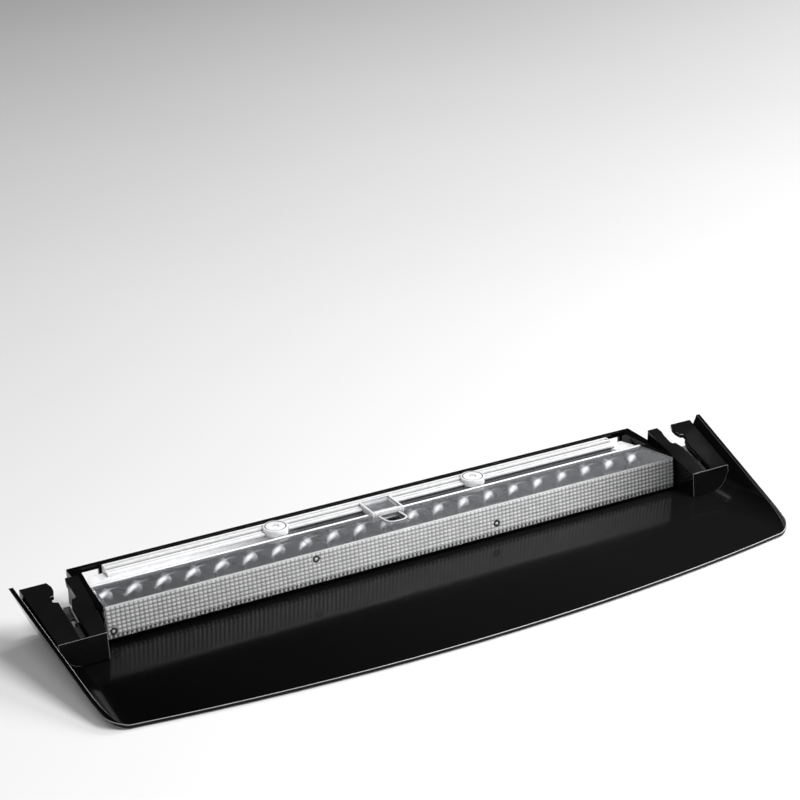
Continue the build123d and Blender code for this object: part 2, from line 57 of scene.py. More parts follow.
class Shader:
    """A small wrapper that adds nodes and joins them with few words."""

    def __init__(self, name):
        self.mat = bpy.data.materials.new(name)
        self.mat.use_nodes = True
        self.tree = self.mat.node_tree
        self.tree.nodes.clear()
        self.out = self.add("ShaderNodeOutputMaterial")

    def add(self, kind, **values):
        node = self.tree.nodes.new(kind)
        for key, value in values.items():
            setattr(node, key, value)
        return node

    def link(self, output, socket):
        self.tree.links.new(output, socket)

    def feed(self, socket, value):
        """Links a socket to an output, or sets its number or its color."""
        if hasattr(value, "is_output"):
            self.link(value, socket)
        elif isinstance(value, tuple):
            socket.default_value = (*value, 1)
        else:
            socket.default_value = value

    def math(self, operation, a, b, clamp=False):
        node = self.add("ShaderNodeMath", operation=operation, use_clamp=clamp)
        self.feed(node.inputs[0], a)
        self.feed(node.inputs[1], b)
        return node.outputs[0]

    def coords(self):
        return self.add("ShaderNodeTexCoord").outputs["Object"]

    def component(self, vector, axis):
        node = self.add("ShaderNodeSeparateXYZ")
        self.link(vector, node.inputs[0])
        return node.outputs[axis]

    def along_lamp(self):
        """Distance from the lamp's middle, positive to its right."""
        return self.component(self.coords(), "X")

    def attribute(self, name):
        return self.add("ShaderNodeAttribute", attribute_name=name).outputs["Fac"]

    def noise(self, scale, detail=2.0, roughness=0.5, stretch=(1, 1, 1)):
        mapping = self.add("ShaderNodeMapping")
        mapping.inputs["Scale"].default_value = stretch
        self.link(self.coords(), mapping.inputs["Vector"])
        node = self.add("ShaderNodeTexNoise")
        node.inputs["Scale"].default_value = scale
        node.inputs["Detail"].default_value = detail
        node.inputs["Roughness"].default_value = roughness
        self.link(mapping.outputs[0], node.inputs["Vector"])
        return node.outputs["Fac"]

    def ramp(self, fac, low, high, start=0.0, end=1.0):
        """low where fac is at start, high where it is at end, and even between."""
        node = self.add("ShaderNodeMapRange")
        node.inputs["From Min"].default_value = start
        node.inputs["From Max"].default_value = end
        node.inputs["To Min"].default_value = low
        node.inputs["To Max"].default_value = high
        self.link(fac, node.inputs["Value"])
        return node.outputs[0]

    def vary(self, noise, low, high):
        """A noise spread over low to high; it seldom leaves 0.3 to 0.7."""
        return self.ramp(noise, low, high, 0.3, 0.7)

    def mix_color(self, fac, a, b):
        node = self.add("ShaderNodeMix", data_type="RGBA")
        self.link(fac, node.inputs["Factor"])
        self.feed(node.inputs[MIX_COLOR_A], a)
        self.feed(node.inputs[MIX_COLOR_B], b)
        return node.outputs[MIX_COLOR_RESULT]

    def mix_shader(self, fac, a, b):
        node = self.add("ShaderNodeMixShader")
        self.link(fac, node.inputs[0])
        self.link(a.outputs[0], node.inputs[1])
        self.link(b.outputs[0], node.inputs[2])
        return node

    def bump(self, height, strength, distance, normal=None):
        node = self.add("ShaderNodeBump")
        node.inputs["Strength"].default_value = strength
        node.inputs["Distance"].default_value = distance
        self.link(height, node.inputs["Height"])
        if normal is not None:
            self.link(normal, node.inputs["Normal"])
        return node.outputs[0]

    def rounded(self, radius, samples=6):
        node = self.add("ShaderNodeBevel", samples=samples)
        node.inputs["Radius"].default_value = radius
        return node.outputs[0]

    def edge_highlight_mask(self, radius, facing):
        """Mask for painted highlights: 1 along the sharp edges that face as asked, and 0 elsewhere.
        """
        axis, start, end, low, high = facing
        soft = self.rounded(radius, 8)
        flat = self.add("ShaderNodeNewGeometry").outputs["Normal"]
        turn = self.add("ShaderNodeVectorMath", operation="DOT_PRODUCT")
        self.link(soft, turn.inputs[0])
        self.link(flat, turn.inputs[1])
        mask = self.ramp(turn.outputs["Value"], 1.0, 0.0, 0.80, 0.985)
        faced = self.ramp(self.component(soft, axis), low, high, start, end)
        return self.math("MULTIPLY", mask, faced, True)

    def principled(self, **values):
        node = self.add("ShaderNodeBsdfPrincipled")
        for key, value in values.items():
            self.feed(node.inputs[key.replace("_", " ")], value)
        return node

    def finish(self, shader):
        self.link(shader.outputs[0], self.out.inputs["Surface"])
        return self.mat


# ---------------------------------------------------------------- materials
CLEAR_IOR = 1.49


def gloss_black():
    """The glossy cover: slightly wavy, a little dusty, with painted shade at its left and painted
    edge highlights.
    """
    s = Shader("gloss_black_plastic")
    wave = s.noise(14.0, 1.0)
    specks = s.ramp(s.noise(900.0, 3.0, 0.7), 0.0, 1.0, 0.72, 0.80)
    place = s.along_lamp()
    # Painted shade: the tone runs darker towards the lamp's left and lighter towards its right. The
    # specks are dust.
    shaded_left_tone, plain, dust = (0.0012, 0.0012, 0.0013), (0.0052, 0.0052, 0.0054), (0.012, 0.012, 0.012)
    painted_shade_base = s.mix_color(s.ramp(place, 0.0, 1.0, -0.18, 0.10), shaded_left_tone, plain)
    dusty = s.mix_color(specks, painted_shade_base, dust)
    # Painted highlights: white lines along edges that don't face left, and along edges that face the
    # front, dimmer towards the lamp's left.
    thin = s.math("MULTIPLY", s.edge_highlight_mask(LINE_WIDTH, NOT_FACING_LEFT), s.vary(wave, 0.6, 1.0))
    lit = s.ramp(place, 0.45, 1.0, -0.20, 0.0)
    front = s.math("MULTIPLY", s.edge_highlight_mask(0.0009, FACING_FRONT), lit)
    color = s.mix_color(s.math("MAXIMUM", thin, front), dusty, (1.0, 1.0, 1.0))
    rough = s.math("ADD", s.vary(wave, 0.12, 0.15), s.math("MULTIPLY", specks, 0.08))
    normal = s.bump(wave, 0.04, 0.0008, s.rounded(0.0009))
    return s.finish(s.principled(Base_Color=color, Roughness=rough, IOR=1.24, Normal=normal))


def satin_black(name, level, rough, line=0.0, ior=1.45):
    """Satin moulded plastic; line is how bright the painted highlight along its forward edges is."""
    s = Shader(name)
    fine = s.noise(1500.0, 3.0, 0.6)
    broad = s.noise(60.0, 2.0)
    color = s.mix_color(s.vary(broad, 0.0, 1.0), (level,) * 3, (level * 1.35,) * 3)
    if line:
        # Painted highlight: the forward edges' colour raised to line.
        color = s.mix_color(s.edge_highlight_mask(LINE_WIDTH, FACING_FRONT), color, (line,) * 3)
    mottled = s.vary(broad, rough - 0.04, rough + 0.04)
    rough_out = s.math("ADD", mottled, s.ramp(fine, -0.03, 0.03))
    normal = s.bump(fine, 0.12, 0.00006, s.rounded(0.0006))
    return s.finish(s.principled(Base_Color=color, Roughness=rough_out, IOR=ior, Normal=normal))


def clear_shader(name, tint, rough, haze, haze_color):
    """Clear moulded plastic: glass with some milky haze, letting light through in shadows.

    haze and haze_color are each a plain value, or a function that makes a socket on the shader.
    """
    s = Shader(name)
    normal = s.bump(s.noise(35.0, 2.0), 0.05, 0.0006)
    glass = s.principled(
        Base_Color=tint, Roughness=rough, IOR=CLEAR_IOR, Transmission_Weight=1.0, Normal=normal
    )
    color = haze_color(s) if callable(haze_color) else haze_color
    milky = s.principled(Base_Color=color, Roughness=0.12, IOR=CLEAR_IOR, Normal=normal)
    level = haze(s) if callable(haze) else haze
    amount = s.math("MULTIPLY", s.vary(s.noise(280.0, 3.0), 0.9, 1.1), level, True)
    body = s.mix_shader(amount, glass, milky)
    through = s.add("ShaderNodeBsdfTransparent")
    s.feed(through.inputs["Color"], (0.86, 0.86, 0.87))
    clear = s.math("SUBTRACT", 1.0, s.math("MULTIPLY", amount, 0.6))
    is_shadow = s.add("ShaderNodeLightPath").outputs["Is Shadow Ray"]
    return s.finish(s.mix_shader(s.math("MULTIPLY", is_shadow, clear), body, through))


def rail_color_with_painted_shade(s):
    """Nearly white, with painted shade darkening its recesses and inner corners."""
    # Painted shade: ambient occlusion mixes the colour towards near-black where light would be
    # blocked.
    shade = s.add("ShaderNodeAmbientOcclusion", samples=6)
    shade.inputs["Distance"].default_value = 0.0010
    depth = s.math("POWER", shade.outputs["AO"], 1.6)
    return s.mix_color(depth, (0.03, 0.03, 0.033), (0.84, 0.84, 0.85))


def pillow_painted_light(s):
    """Painted light and shade: dark to white, by the pillow attribute of the lens's mesh."""
    return s.mix_color(s.attribute("pillow"), (0.03, 0.031, 0.033), (1.0, 1.0, 1.0))


def lens_haze_with_painted_shade(s):
    """Less haze at the lamp's left than at its right: painted shade that leaves the lens's top darker
    at its left.
    """
    return s.ramp(s.along_lamp(), 0.044, 0.07, -0.16, 0.02)


def groove_haze(s):
    """Milky at the lamp's left, clear towards its right."""
    return s.ramp(s.along_lamp(), 0.75, 0.01, -0.12, -0.05)


def streak_light():
    """Painted reflection: a soft-edged streak that glows although the lamp is not lit, faded out by
    the mesh's own glow attribute.
    """
    s = Shader("reflector_painted_reflection")
    grain = s.noise(420.0, 2.0, 0.5, (1, 0.35, 1))
    broken = s.math("MULTIPLY", s.attribute("glow"), s.vary(grain, 0.8, 1.15), True)
    clear = s.add("ShaderNodeBsdfTransparent")
    white = (1.0, 1.0, 1.0)
    lit = s.principled(
        Base_Color=(0.3, 0.3, 0.31), Roughness=0.3, Emission_Color=white, Emission_Strength=0.95
    )
    return s.finish(s.mix_shader(broken, clear, lit))


def chrome_like(name, color, rough):
    """Bright metal, smeared along its height."""
    s = Shader(name)
    smear = s.noise(120.0, 3.0, 0.6, (1, 1, 3))
    rough_out = s.vary(smear, rough * 0.7, rough * 1.5)
    tint = s.mix_color(smear, color, tuple(c * 0.85 for c in color))
    normal = s.bump(smear, 0.08, 0.0002, s.rounded(0.0002))
    return s.finish(s.principled(Base_Color=tint, Roughness=rough_out, Metallic=1.0, Normal=normal))


def led_epoxy():
    """Cast resin, a little cloudy."""
    s = Shader("led_epoxy")
    grain = s.noise(700.0, 2.0)
    color = s.mix_color(grain, (0.30, 0.31, 0.33), (0.42, 0.43, 0.45))
    rough = s.ramp(grain, 0.05, 0.12)
    return s.finish(s.principled(Base_Color=color, Roughness=rough, IOR=1.5, Transmission_Weight=0.6))


def board_mask():
    """Black solder mask with the copper tracks standing out under it."""
    s = Shader("board_laminate")
    tracks = s.noise(260.0, 1.0, 0.5, (0.25, 1, 1.5))
    copper = s.ramp(tracks, 0.0, 1.0, 0.50, 0.53)
    color = s.mix_color(copper, (0.012, 0.014, 0.016), (0.02, 0.026, 0.028))
    rough = s.ramp(tracks, 0.2, 0.3)
    normal = s.bump(copper, 0.3, 0.00004)
    return s.finish(s.principled(Base_Color=color, Roughness=rough, Normal=normal))


def rubber(name, level):
    """Matt rubber with fine pores."""
    s = Shader(name)
    pores = s.noise(2200.0, 4.0, 0.7)
    color = s.mix_color(pores, (level,) * 3, (level * 1.8,) * 3)
    rough = s.ramp(pores, 0.65, 0.85)
    normal = s.bump(pores, 0.35, 0.0001, s.rounded(0.0003))
    return s.finish(s.principled(Base_Color=color, Roughness=rough, Normal=normal))


def screw_metal(name, low, high):
    """Turned metal, brushed along its length."""
    s = Shader(name)
    brushed = s.noise(1800.0, 3.0, 0.6, (1, 1, 0.1))
    color = s.mix_color(brushed, low, high)
    rough = s.ramp(brushed, 0.22, 0.4)
    normal = s.bump(brushed, 0.1, 0.00005, s.rounded(0.0002))
    return s.finish(s.principled(Base_Color=color, Roughness=rough, Metallic=1.0, Normal=normal))


def floor_paint():
    s = Shader("studio_floor")
    soft = s.noise(3.0, 2.0)
    color = s.mix_color(soft, (0.68, 0.68, 0.68), (0.72, 0.72, 0.72))
    return s.finish(s.principled(Base_Color=color, Roughness=0.6))


M_GLOSS = gloss_black()
# The towers' line paints highlights along their forward edges.
M_SATIN = satin_black("satin_black_plastic", 0.004, 0.14, line=0.5)
M_HOUSING = satin_black("housing_black_plastic", 0.001, 0.12, ior=1.28)
M_TONGUE = satin_black("tongue_plastic", 0.018, 0.4)
M_SOCKET = satin_black("socket_plastic", 0.014, 0.42)
M_LENS = clear_shader("clear_lens", (0.90, 0.91, 0.92), 0.03, lens_haze_with_painted_shade, (0.70, 0.71, 0.73))
M_PILLOW = clear_shader("clear_lens_pillows", (0.97, 0.97, 0.98), 0.05, 0.82, pillow_painted_light)
M_RAIL = clear_shader("clear_lens_rail", (0.97, 0.97, 0.98), 0.08, 0.8, rail_color_with_painted_shade)
# The groove's dark tint is painted shade: it shows darker than the rest of the clear lens.
M_GROOVE = clear_shader(
    "clear_lens_groove", (0.26, 0.26, 0.27), 0.05, groove_haze, (0.92, 0.92, 0.93)
)
M_STREAK = streak_light()
M_MIRROR = chrome_like("reflector_metallised", (0.10, 0.10, 0.11), 0.3)
M_BRASS = chrome_like("pin_brass", (0.78, 0.60, 0.32), 0.2)
M_LED = led_epoxy()
M_BOARD = board_mask()
M_BREATHER = rubber("breather_rubber", 0.02)
M_GASKET = rubber("gasket_rubber", 0.025)
M_STEEL = screw_metal("screw_steel", (0.5, 0.5, 0.49), (0.66, 0.65, 0.62))
M_BLACK_STEEL = screw_metal("screw_black_steel", (0.012, 0.012, 0.012), (0.03, 0.03, 0.03))
M_RESISTOR = satin_black("resistor_ceramic", 0.02, 0.25)
M_DIODE = satin_black("diode_epoxy", 0.012, 0.4)

NODE_MATERIALS = {
    "cover_tray": M_GLOSS,
    "right_tower": M_SATIN,
    "left_tower": M_SATIN,
    "right_lock_tongue": M_TONGUE,
    "left_lock_tongue": M_TONGUE,
    "lens": M_LENS,
    "housing": M_HOUSING,
    "reflector": M_MIRROR,
    "circuit_board": M_BOARD,
    "leds": M_LED,
    "resistors": M_RESISTOR,
    "protection_diode": M_DIODE,
    "connector_socket": M_SOCKET,
    "contact_pins": M_BRASS,
    "breather_cap": M_BREATHER,
    "lens_gasket": M_GASKET,
    "housing_screws": M_STEEL,
    "right_tower_screws": M_STEEL,
    "left_tower_screws": M_STEEL,
    "board_screws": M_BLACK_STEEL,
}


def paint(obj, material):
    obj.data.materials.clear()
    obj.data.materials.append(material)


for node_name, node_material in NODE_MATERIALS.items():
    paint(nodes[node_name], node_material)


# ---------------------------------------------------------------- mesh helpers
def mesh_object(name, verts, faces, materials, face_slots=None, smooth=40):
    """A mesh given in millimetres; edges that turn by less than smooth degrees look rounded."""
    mesh = bpy.data.meshes.new(name)
    mesh.from_pydata([Vector(v) * MM for v in verts], [], faces)
    for material in materials:
        mesh.materials.append(material)
    if face_slots:
        mesh.polygons.foreach_set("material_index", face_slots)
    mesh.validate()
    mesh.update()
    obj = bpy.data.objects.new(name, mesh)
    bpy.context.scene.collection.objects.link(obj)
    if smooth:
        mesh.shade_smooth()
        mesh.set_sharp_from_angle(angle=math.radians(smooth))
    return obj


def point_values(obj, name, values):
    """Gives a mesh one number for each of its points, for a shader to read."""
    obj.data.attributes.new(name, "FLOAT", "POINT").data.foreach_set("value", values)


def ride_lamp(obj):
    """Fixes a piece to the lamp's body."""
    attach(obj, BODY)


def loft(sections):
    """Joins closed loops of equal length, in order, and caps both ends."""
    count = len(sections[0])
    verts = [p for section in sections for p in section]
    faces = []
    for i in range(len(sections) - 1):
        a, b = i * count, (i + 1) * count
        for j in range(count):
            k = (j + 1) % count
            faces.append((a + j, b + j, b + k, a + k))
    faces.append(tuple(range(count)))
    faces.append(tuple(reversed(range(len(verts) - count, len(verts)))))
    return verts, faces


def bar(profile, x0, x1):
    """A prism along X from a closed profile of (y, z) points."""
    return loft([[(x, y, z) for y, z in profile] for x in (x0, x1)])


def rectangle(y0, z0, y1, z1):
    return [(y0, z0), (y0, z1), (y1, z1), (y1, z0)]


def turned(profile, x, y):
    """A closed solid turned about an upright axis; profile is (radius, z), from axis to axis."""
    steps = 40
    verts, faces, rings = [], [], []
    for radius, z in profile:
        if radius == 0:
            rings.append([len(verts)])
            verts.append((x, y, z))
        else:
            rings.append(list(range(len(verts), len(verts) + steps)))
            for i in range(steps):
                a = 2 * math.pi * i / steps
                verts.append((x + radius * math.cos(a), y + radius * math.sin(a), z))
    for low, high in zip(rings, rings[1:]):
        for i in range(steps):
            j = (i + 1) % steps
            corners = [low[i % len(low)], low[j % len(low)], high[j % len(high)], high[i % len(high)]]
            faces.append(tuple(dict.fromkeys(corners)))
    return verts, faces


def join(parts):
    """Joins (verts, faces) pairs into one."""
    verts, faces = [], []
    for part_verts, part_faces in parts:
        start = len(verts)
        verts.extend(part_verts)
        faces.extend(tuple(start + i for i in face) for face in part_faces)
    return verts, faces


def bevelled(obj, width):
    modifier = obj.modifiers.new("edge_rounding", "BEVEL")
    modifier.width = width
    modifier.segments = 2
    modifier.limit_method = "ANGLE"
    modifier.angle_limit = math.radians(35)
    modifier.harden_normals = True


# ---------------------------------------------------------------- lens
lens_low, lens_high = [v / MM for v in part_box("lens")]
LENS_HALF = lens_high.x
BOTTOM_Z = lens_low.z
FRONT_Y = lens_low.y
FRONT_TOP_Y = FRONT_Y + 2.0
FRONT_TOP_Z = 22.7
FACE_HEIGHT = FRONT_TOP_Z - BOTTOM_Z
FRONT_WALL = 2.4
TOP_REAR_Y = 49.2
TOP_REAR_Z = 19.55
BEAD_REAR_Y = 51.6
REAR_Y = 63.0
UNDER_Z = 17.0
RAIL_HALF = 160.0
# (depth, half length), where the rear corners curve in
END_CURVE = (
    (18.0, LENS_HALF),
    (46.0, LENS_HALF - 1.4),
    (52.0, 173.2),
    (58.0, 171.4),
    (REAR_Y, 168.6),
)

# Front optics: a row of teeth along the foot, rows of pillows over it up to a plain strip, and
# round pegs among the pillows, at (x, z). The two ends are shares of the face's height.
PILLOW_PITCH = 2.5
PILLOW_ROWS = 7
PILLOW_RISE = 0.38
PILLOW_STEPS = 6
PILLOWS_END = 0.965
# The plain strip's level of painted light.
STRIP_PAINTED_LIGHT = 0.75
TEETH_END = 2.1 / FACE_HEIGHT
TOOTH_STEPS = 5
TOOTH_HALF = 0.55
TOOTH_RISE = PILLOW_RISE * 1.4
PEGS = ((-57.4, 18.5), (54.0, 11.4), (-172.0, 8.8))
PEG_RADIUS = 2.1
PEG_CORE = 0.9

WINDOW_HALF = 5.6
WINDOW_FRONT_Y = 33.4
WINDOW_REAR_Y = 45.1
WINDOW_CORNER = 4.0
WINDOW_CORNER_STEPS = 8

# Streaks of painted reflection, one by each LED: the middle line as (x, y) seen from above, and where
# its origin lies from the LED's place along the lamp. None shows in the gap left for the window.
LED_PITCH = 16.47
LEDS_EACH_SIDE = 10
STREAK_PATH = ((-7.4, -8.2), (-4.0, -4.5), (0.0, 0.0), (3.6, 3.7), (7.0, 5.6), (11.3, 4.9))
STREAK_PLACE = (-5.6, 38.3)
STREAK_BELLY = 0.42
STREAK_SINK = 2.95
STREAK_THICK = 0.12
STREAK_REACH = 171.8
GAP_LEFT, GAP_RIGHT, GAP_FRONT_Y = -6.6, 7.0, 32.6


def unit(value):
    """The value, held between 0 and 1."""
    return min(1.0, max(0.0, value))


def hump(value, middle, width):
    """A bell curve that is 1 at its middle."""
    return math.exp(-(((value - middle) / width) ** 2))


def lens_end(y):
    """Half the lens's length at depth y."""
    for (y0, x0), (y1, x1) in zip(END_CURVE, END_CURVE[1:]):
        if y <= y1:
            return x0 + (x1 - x0) * unit((y - y0) / (y1 - y0))
    return END_CURVE[-1][1]


def front_point(t):
    """A point of the front face's middle line, t from 0 at its foot to 1 at its top edge."""
    return FRONT_Y + (FRONT_TOP_Y - FRONT_Y) * t, BOTTOM_Z + FACE_HEIGHT * t


def pillow_rise(x, t):
    """(rise, painted light) of the front optics at x along the lens and t up its face.

    Each pillow and tooth gets a painted highlight on its top and painted shade between them.
    A peg's ring has painted light below 0, painted shade that shows it darker than the ground
    between pillows, round a painted highlight at its core.
    """
    z = BOTTOM_Z + FACE_HEIGHT * t
    for peg_x, peg_z in PEGS:
        away = math.hypot(x - peg_x, z - peg_z)
        if away < PEG_RADIUS:
            core = max(0.0, 1.0 - (away / PEG_CORE) ** 2)
            return PILLOW_RISE * core, -1.0 + 2.0 * min(1.0, core * 2.0)
    u = 2.0 * ((x / PILLOW_PITCH) % 1.0) - 1.0
    if t < TEETH_END:
        v = 2.0 * t / TEETH_END - 1.0
        across = max(0.0, 1.0 - (u / TOOTH_HALF) ** 2)
        return TOOTH_RISE * across * (1 - v**4), min(1.0, 1.9 * across * (1 - v * v) - 0.85)
    row = (t - TEETH_END) / (PILLOWS_END - TEETH_END) * PILLOW_ROWS
    if row >= PILLOW_ROWS:
        return 0.0, STRIP_PAINTED_LIGHT
    v = 2.0 * (row % 1.0) - 1.0
    dome = (1 - u * u) * (1 - v * v)
    return PILLOW_RISE * dome, dome


def painted_light_at(x, white):
    """Painted light on the optics at x: painted shade dulls it towards both ends, most at the right.
    """
    right_start, right_span, left_start, left_span = 85.0, 88.0, 20.0, 120.0
    right = unit((x - right_start) / right_span) ** 1.7
    left = unit((-x - left_start) / left_span)
    ground = (0.46 - 0.001 * abs(x - 10.0)) * (1.0 - 0.7 * right)
    if white > 0:
        level = ground + (1.0 - ground) * white**0.8
    else:
        level = ground * (1.0 + white)
    return level * (1.0 - 0.86 * right - 0.22 * left)


def face_steps():
    """Places up the front face, from its foot over the teeth and the pillows to the top edge."""
    rows = PILLOW_ROWS * PILLOW_STEPS
    teeth = [TEETH_END * i / TOOTH_STEPS for i in range(TOOTH_STEPS)]
    pillows = [TEETH_END + (PILLOWS_END - TEETH_END) * i / rows for i in range(rows + 1)]
    return teeth + pillows + [0.985, 1.0]


def shell_slot(corners, verts, count, face_count):
    """Which of the shell's materials a face shows: 0 clear, 1 pillows, 2 bead, 3 groove.

    Each section of the shell has count points, of which the first face_count are on the front.
    """
    places = [i % count for i in corners]
    first, last = min(places) - face_count, max(places) - face_count
    if len(corners) > 4:
        return 0
    if last < 0:
        return 1
    if first >= 0 and last <= 3:
        return 2
    if first >= 3 and last <= 6:
        return 2 if abs(verts[corners[0]][0]) > RAIL_HALF else 3
    return 0


def lens_shell():
    """The lens's front face with its pillows, its top, and the bead and groove behind it."""
    half_steps = round(LENS_HALF / PILLOW_PITCH) * PILLOW_STEPS
    columns = [i * PILLOW_PITCH / PILLOW_STEPS for i in range(-half_steps, half_steps + 1)]
    stretch = LENS_HALF / columns[-1]
    steps = face_steps()
    back = [
        (TOP_REAR_Y, TOP_REAR_Z),
        (TOP_REAR_Y + 0.3, TOP_REAR_Z + 0.5),
        (TOP_REAR_Y + 0.7, TOP_REAR_Z + 0.65),
        (TOP_REAR_Y + 1.1, TOP_REAR_Z + 0.5),
        (BEAD_REAR_Y, TOP_REAR_Z),
        (BEAD_REAR_Y, TOP_REAR_Z - 1.0),
        (REAR_Y, TOP_REAR_Z - 1.0),
        (REAR_Y, UNDER_Z),
        (TOP_REAR_Y, UNDER_Z),
        (FRONT_TOP_Y + FRONT_WALL, FRONT_TOP_Z - 2.7),
        (FRONT_Y + FRONT_WALL, BOTTOM_Z),
    ]
    sections, optics_painted_light = [], []
    for x in columns:
        loop = []
        for t in steps:
            y, z = front_point(t)
            rise, white = pillow_rise(x, t)
            loop.append((x * stretch, max(y + 0.15 - rise, FRONT_Y), z))
            optics_painted_light.append(painted_light_at(x, white))
        for y, z in back:
            loop.append((x * stretch * lens_end(y) / LENS_HALF, y, z))
            optics_painted_light.append(0.5)
        sections.append(loop)
    verts, faces = loft(sections)
    slots = [shell_slot(corners, verts, len(sections[0]), len(steps)) for corners in faces]
    materials = (M_LENS, M_PILLOW, M_RAIL, M_GROOVE)
    obj = mesh_object("lens_shell", verts, faces, materials, slots, smooth=50)
    # Painted light and shade of the front optics, one value for each point.
    point_values(obj, "pillow", optics_painted_light)
    cut_window(obj)
    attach(obj, BODY)
    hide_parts("lens")


def window_outline(grow=0.0):
    """The window's outline seen from above, rounded at its front corners."""
    half, front, corner = WINDOW_HALF + grow, WINDOW_FRONT_Y - grow, WINDOW_CORNER + grow
    points = [(-half, WINDOW_REAR_Y)]
    for centre_x, start in ((-half + corner, 180), (half - corner, 270)):
        for i in range(WINDOW_CORNER_STEPS + 1):
            a = math.radians(start + 90 * i / WINDOW_CORNER_STEPS)
            points.append((centre_x + corner * math.cos(a), front + corner + corner * math.sin(a)))
    points.append((half, WINDOW_REAR_Y))
    return points


def top_z(y):
    """Height of the lens's top surface at depth y."""
    fall = (TOP_REAR_Z - FRONT_TOP_Z) * (y - FRONT_TOP_Y) / (TOP_REAR_Y - FRONT_TOP_Y)
    return FRONT_TOP_Z + fall


def cut_window(shell):
    """Cuts the window through the lens's top and underside."""
    above, below = 26.0, 14.0
    outline = window_outline()
    verts, faces = loft([[(x, y, z) for x, y in outline] for z in (above, below)])
    cutter = mesh_object("window_cutter", verts, faces, (M_LENS,), smooth=0)
    modifier = shell.modifiers.new("window", "BOOLEAN")
    modifier.object = cutter
    modifier.operation = "DIFFERENCE"
    modifier.solver = "EXACT"
    graph = bpy.context.evaluated_depsgraph_get()
    cut = bpy.data.meshes.new_from_object(
        shell.evaluated_get(graph), preserve_all_data_layers=True, depsgraph=graph
    )
    shell.modifiers.clear()
    shell.data = cut
    bpy.data.objects.remove(cutter)


def window_rim():
    """A low bright ridge round the window's sides and front."""
    inner, outer = window_outline(0.02), window_outline(1.15)
    sections = []
    for (xi, yi), (xo, yo) in zip(reversed(inner), reversed(outer)):
        xm, ym = (xi + xo) / 2, (yi + yo) / 2
        sections.append([
            (xi, yi, top_z(yi) - 2.2),
            (xi, yi, top_z(yi) + 0.25),
            (xm, ym, top_z(ym) + 0.45),
            (xo, yo, top_z(yo) + 0.2),
            (xo, yo, top_z(yo) - 0.3),
        ])
    ride_lamp(mesh_object("lens_window_rim", *loft(sections), (M_RAIL,)))


def top_rib():
    """A hairline rib across the lens's top."""
    middle, half = -56, 0.16
    sections = []
    for y in (48.0, 24.5):
        low, high = top_z(y) - 0.1, top_z(y) + 0.12
        left, right = middle - half, middle + half
        sections.append([(left, y, low), (left, y, high), (right, y, high), (right, y, low)])
    ride_lamp(mesh_object("lens_top_rib", *loft(sections), (M_GROOVE,)))


def streak_point(s):
    """Middle line of a streak, seen from above, s from 0 at its front end to 1 at its tail."""
    place = s * (len(STREAK_PATH) - 1)
    i = min(int(place), len(STREAK_PATH) - 2)
    f = place - i
    f = f * f * (3 - 2 * f) * 0.3 + f * 0.7
    (x0, y0), (x1, y1) = STREAK_PATH[i], STREAK_PATH[i + 1]
    return x0 + (x1 - x0) * f, y0 + (y1 - y0) * f


def streak_across(s):
    """Direction square to a streak's middle line at s."""
    ahead_x, ahead_y = streak_point(min(1.0, s + 0.03))
    behind_x, behind_y = streak_point(max(0.0, s - 0.03))
    run = math.hypot(ahead_x - behind_x, ahead_y - behind_y)
    return (behind_y - ahead_y) / run, (ahead_x - behind_x) / run


def streak_glow(s, w):
    """How bright a streak is at s along it and w across it, w from -1 to 1."""
    belly = hump(s, STREAK_BELLY, 0.26 if s < STREAK_BELLY else 0.16)
    tail = 0.16 * hump(s, 0.8, 0.18)
    return hump(w, 0.0, 0.44) * (1.0 - w**4) * (belly + tail)


def sheet_faces(rows, width):
    """Faces of a thin closed sheet: a grid of points, the same grid below it, and a rim."""
    faces = []
    below = rows * width
    last_row, last = rows - 1, width - 1
    for i in range(last_row):
        for k in range(last):
            a = i * width + k
            b = a + below
            faces.append((a, a + width, a + width + 1, a + 1))
            faces.append((b, b + 1, b + width + 1, b + width))
    rim = list(range(width))
    rim += [i * width + last for i in range(1, rows)]
    rim += [last_row * width + k for k in range(last - 1, -1, -1)]
    rim += [i * width for i in range(last_row - 1, 0, -1)]
    faces += [(a, b, b + below, a + below) for a, b in zip(rim, rim[1:] + rim[:1])]
    return faces


def reflector_painted_reflections():
    """Painted reflections: glowing comma-shaped marks under the lens's top, standing in for the light
    the reflector's cups reflect.
    """
    along, across = 24, 12
    faces = sheet_faces(along + 1, across + 1)
    parts, glow = [], []
    for led in range(-LEDS_EACH_SIDE, LEDS_EACH_SIDE + 1):
        strength = 0.4 if led == 0 else 0.80
        verts = []
        for layer in (0.0, -STREAK_THICK):
            for i in range(along + 1):
                s = i / along
                middle_x, middle_y = streak_point(s)
                side_x, side_y = streak_across(s)
                half = 1.2 + 2.5 * hump(s, STREAK_BELLY, 0.26)
                for k in range(across + 1):
                    w = 2.0 * k / across - 1.0
                    x = led * LED_PITCH + STREAK_PLACE[0] + middle_x + side_x * w * half
                    y = STREAK_PLACE[1] + middle_y + side_y * w * half
                    x = max(-STREAK_REACH, min(STREAK_REACH, x))
                    verts.append((x, y, top_z(y) - STREAK_SINK + layer))
                    in_gap = GAP_LEFT < x < GAP_RIGHT and y > GAP_FRONT_Y
                    glow.append(0.0 if in_gap else min(1.0, strength * streak_glow(s, w)))
        parts.append((verts, faces))
    obj = mesh_object("reflector_painted_reflections", *join(parts), (M_STREAK,), smooth=0)
    point_values(obj, "glow", glow)
    ride_lamp(obj)


